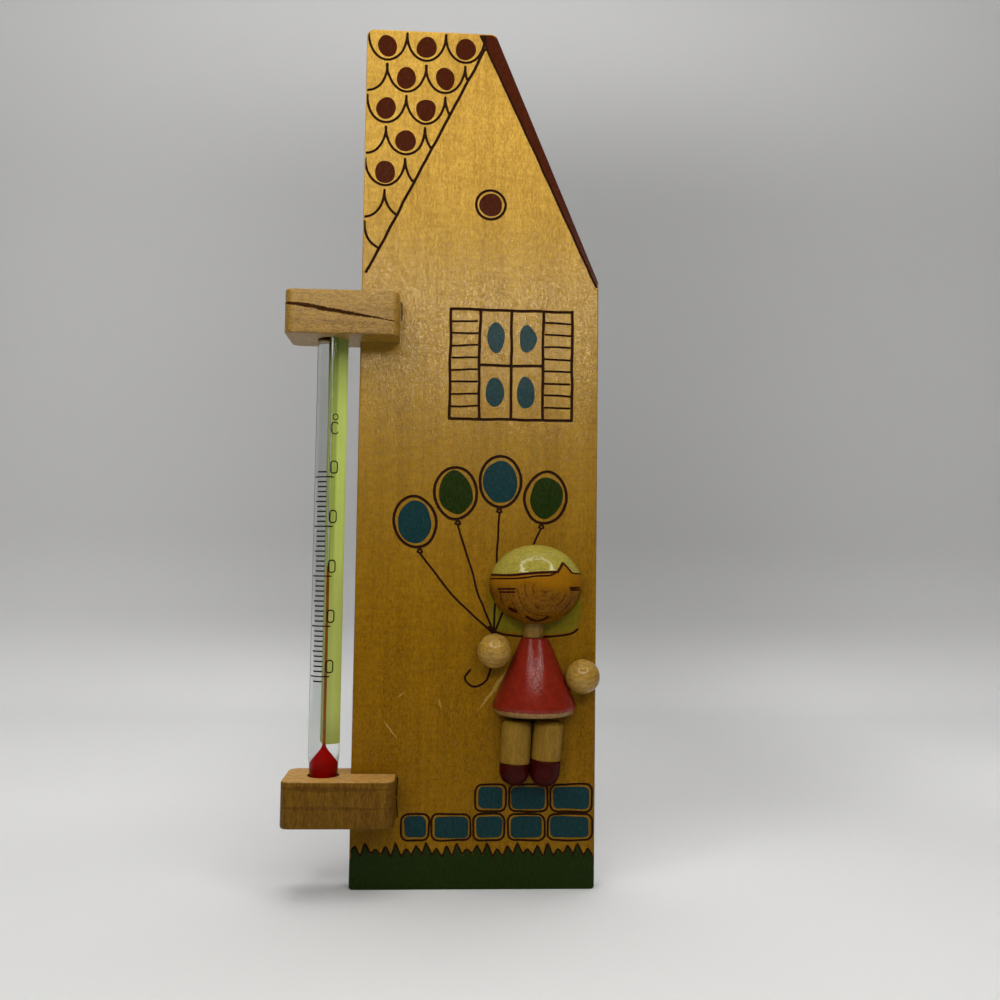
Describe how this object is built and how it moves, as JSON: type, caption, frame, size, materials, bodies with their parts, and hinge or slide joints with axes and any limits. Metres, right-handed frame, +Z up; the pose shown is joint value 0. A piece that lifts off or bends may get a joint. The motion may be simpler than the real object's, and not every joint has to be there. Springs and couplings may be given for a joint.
{
  "type": "wall thermometer",
  "caption": "Wooden wall thermometer: varnished board with a sloped top, glass spirit thermometer held between side blocks, and a turned wooden doll.",
  "frame": {"origin": "centre of the mouth of the blind hanging hole, on the rear face of the board", "axes": "+Y points out of the rear face towards the wall, +Z up along the board and the tube, +X to the right of someone who faces the front"},
  "size_m": [0.0913, 0.0202, 0.252],
  "materials": {
    "board_wood": "honey-coloured varnish over straight-grained wood",
    "upper_block_wood": "natural wood, satin, with one dark streak",
    "lower_block_wood": "natural wood, satin",
    "tube_glass": "clear polished glass",
    "strip_enamel": "opaque yellow-green enamel behind glass",
    "red_liquid": "dyed red spirit",
    "thread_liquid": "dyed red spirit in a thin thread",
    "head_wood": "varnished turned wood with painted hair",
    "neck_wood": "natural turned wood, satin",
    "dress_paint": "glossy red paint over wood",
    "hand_wood": "varnished turned wood",
    "leg_wood": "natural turned wood, satin",
    "shoe_paint": "glossy dark red paint over wood"
  },
  "bodies": {
    "board": {"back_board": "board_wood", "upper_block": "upper_block_wood", "lower_block": "lower_block_wood", "doll_head": "head_wood", "neck_dowel": "neck_wood", "dress": "dress_paint", "left_hand": "hand_wood", "right_hand": "hand_wood", "left_leg": "leg_wood", "right_leg": "leg_wood", "left_shoe": "shoe_paint", "right_shoe": "shoe_paint"},
    "tube": {"glass_tube": "tube_glass", "enamel_strip": "strip_enamel", "bulb_liquid": "red_liquid"},
    "column": {"liquid_column": "thread_liquid"}
  },
  "joints": [
    {"name": "tube_turn", "type": "hinge", "parent": "board", "child": "tube", "pos_m": [-0.0321, -0.0096, -0.134], "axis": [0, 0, 1], "continuous": true},
    {"name": "column_rise", "type": "slide", "parent": "tube", "child": "column", "axis": [0, 0, 1], "range_m": [-0.0325, 0.02659], "deforming": ["liquid_column"]}
  ]
}
